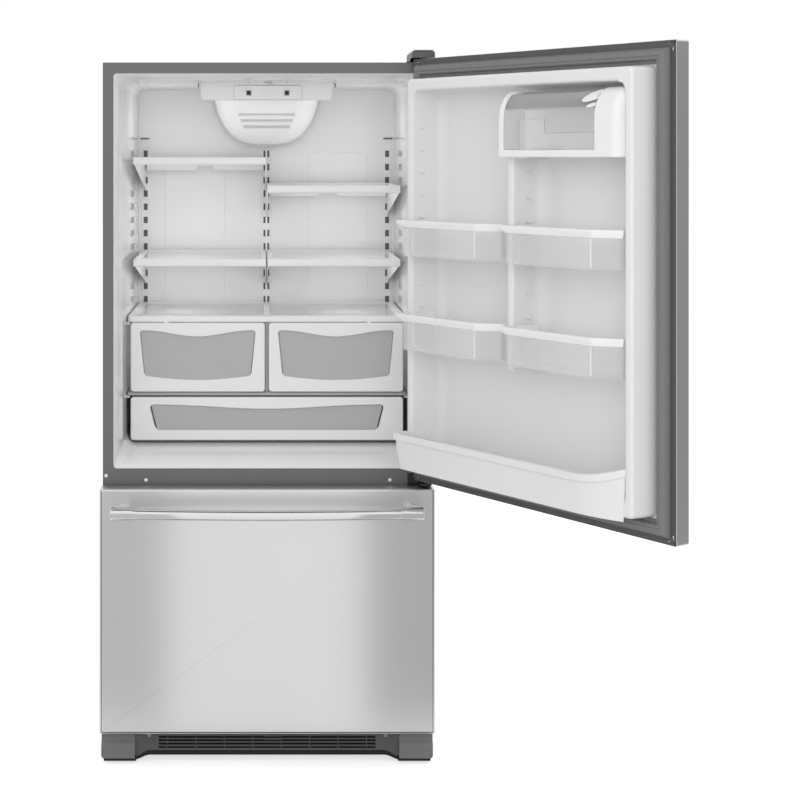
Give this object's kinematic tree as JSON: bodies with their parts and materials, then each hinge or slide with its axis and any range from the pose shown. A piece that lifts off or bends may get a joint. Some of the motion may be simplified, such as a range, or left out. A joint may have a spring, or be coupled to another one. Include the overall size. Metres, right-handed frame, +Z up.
{
  "type": "bottom freezer refrigerator",
  "caption": "Upright refrigerator with a swinging fresh food door, glass shelves, crispers, door bins and a pull-out freezer drawer below.",
  "frame": {"origin": "middle of the part's footprint, door open included, at the floor", "axes": "+Z up, +Y from the front towards the back, +X to the right as seen from the front"},
  "size_m": [1.315, 1.448, 1.771],
  "materials": {
    "stainless": "fine brushing along the handles and across the panels",
    "grey_paint": "satin grey paint, lightly textured",
    "dark_plastic": "moulded, matt",
    "black_steel": "satin black",
    "white_plastic": "moulded, semi gloss",
    "liner": "vacuum formed, glossy",
    "gasket_rubber": "soft grey",
    "clear_plastic": "clear, polished",
    "insulation": "closed cell foam",
    "zinc_steel": "zinc plated",
    "copper": "drawn tube"
  },
  "bodies": {
    "cabinet": {"cabinet_wrapper": "grey_paint", "cabinet_foam": "insulation", "fridge_liner": "liner", "freezer_liner": "liner", "machine_cover": "zinc_steel", "base_frame": "zinc_steel", "toe_grille": "dark_plastic", "levelling_foot_left": "dark_plastic", "levelling_foot_right": "dark_plastic", "top_hinge_bracket": "black_steel", "top_hinge_cover": "dark_plastic", "centre_hinge_bracket": "black_steel", "shelf_ladder_left": "white_plastic", "shelf_ladder_right": "white_plastic", "shelf_ladder_centre": "white_plastic", "shelf_upper_left": "white_plastic", "shelf_upper_right": "white_plastic", "shelf_lower_left": "white_plastic", "shelf_lower_right": "white_plastic", "crisper_cover": "white_plastic", "deli_cover": "white_plastic", "control_housing": "white_plastic", "light_lens": "clear_plastic", "evaporator_cover": "white_plastic", "evaporator_coil": "zinc_steel", "compressor": "black_steel", "condenser_coil": "copper", "slide_rail_left": "zinc_steel", "slide_rail_right": "zinc_steel"},
    "door": {"door_skin": "stainless", "door_liner": "white_plastic", "door_gasket": "gasket_rubber", "door_handle": "stainless", "door_bin_upper_hinge_side": "clear_plastic", "door_bin_upper_handle_side": "clear_plastic", "door_bin_lower_hinge_side": "clear_plastic", "door_bin_lower_handle_side": "clear_plastic", "door_bin_bottom": "white_plastic", "dairy_housing": "white_plastic"},
    "dairy_cover": {"dairy_cover": "clear_plastic"},
    "freezer_drawer": {"drawer_skin": "stainless", "drawer_liner": "white_plastic", "drawer_gasket": "gasket_rubber", "drawer_handle": "stainless", "basket_carrier": "zinc_steel", "freezer_basket": "white_plastic"},
    "slide_members": {"slide_member_left": "zinc_steel", "slide_member_right": "zinc_steel"},
    "upper_basket": {"freezer_basket_upper": "white_plastic"},
    "crisper_left": {"crisper_left": "white_plastic"},
    "crisper_right": {"crisper_right": "white_plastic"},
    "deli_drawer": {"deli_drawer": "white_plastic"},
    "evaporator_fan": {"evaporator_fan": "dark_plastic"},
    "condenser_fan": {"condenser_fan": "dark_plastic"},
    "rear_roller_left": {"rear_roller_left": "dark_plastic"},
    "rear_roller_right": {"rear_roller_right": "dark_plastic"},
    "control_button_1": {"control_button_1": "white_plastic"},
    "control_button_2": {"control_button_2": "white_plastic"},
    "control_button_3": {"control_button_3": "white_plastic"},
    "control_button_4": {"control_button_4": "white_plastic"}
  },
  "joints": [
    {"name": "door_hinge", "type": "hinge", "parent": "cabinet", "child": "door", "pos_m": [0.15049, -0.04702, 1.227], "axis": [0, 0, 1], "range_deg": [-125, 10]},
    {"name": "dairy_cover_hinge", "type": "hinge", "parent": "door", "child": "dairy_cover", "pos_m": [0.3745, -0.54999, 1.64], "axis": [-0.5736, 0.8192, 0], "range_deg": [0, 75]},
    {"name": "drawer_slide", "type": "slide", "parent": "cabinet", "child": "freezer_drawer", "axis": [0, -1, 0], "range_m": [0, 0.42]},
    {"name": "slide_member_travel", "type": "slide", "parent": "cabinet", "child": "slide_members", "axis": [0, -1, 0], "range_m": [0, 0.21]},
    {"name": "upper_basket_slide", "type": "slide", "parent": "cabinet", "child": "upper_basket", "axis": [0, -1, 0], "range_m": [0, 0.21]},
    {"name": "crisper_left_slide", "type": "slide", "parent": "cabinet", "child": "crisper_left", "axis": [0, -1, 0], "range_m": [0, 0.24]},
    {"name": "crisper_right_slide", "type": "slide", "parent": "cabinet", "child": "crisper_right", "axis": [0, -1, 0], "range_m": [0, 0.24]},
    {"name": "deli_slide", "type": "slide", "parent": "cabinet", "child": "deli_drawer", "axis": [0, -1, 0], "range_m": [0, 0.24]},
    {"name": "control_button_1_press", "type": "slide", "parent": "cabinet", "child": "control_button_1", "axis": [0, 1, 0], "range_m": [0, 0.0012], "stiffness_N_per_m": 300},
    {"name": "control_button_2_press", "type": "slide", "parent": "cabinet", "child": "control_button_2", "axis": [0, 1, 0], "range_m": [0, 0.0012], "stiffness_N_per_m": 300},
    {"name": "control_button_3_press", "type": "slide", "parent": "cabinet", "child": "control_button_3", "axis": [0, 1, 0], "range_m": [0, 0.0012], "stiffness_N_per_m": 300},
    {"name": "control_button_4_press", "type": "slide", "parent": "cabinet", "child": "control_button_4", "axis": [0, 1, 0], "range_m": [0, 0.0012], "stiffness_N_per_m": 300},
    {"name": "evaporator_fan_spin", "type": "hinge", "parent": "cabinet", "child": "evaporator_fan", "pos_m": [-0.24301, 0.51298, 0.56], "axis": [0, 1, 0], "continuous": true},
    {"name": "condenser_fan_spin", "type": "hinge", "parent": "cabinet", "child": "condenser_fan", "pos_m": [-0.18301, 0.57798, 0.1337], "axis": [0, 1, 0], "continuous": true},
    {"name": "rear_roller_left_spin", "type": "hinge", "parent": "cabinet", "child": "rear_roller_left", "pos_m": [-0.61501, 0.67398, 0.02], "axis": [1, 0, 0], "continuous": true},
    {"name": "rear_roller_right_spin", "type": "hinge", "parent": "cabinet", "child": "rear_roller_right", "pos_m": [0.12899, 0.67398, 0.02], "axis": [1, 0, 0], "continuous": true}
  ],
  "couplings": [
    {"joint": "slide_member_travel", "follows": "drawer_slide", "ratio": 0.5},
    {"joint": "upper_basket_slide", "follows": "drawer_slide", "ratio": 0.5}
  ]
}
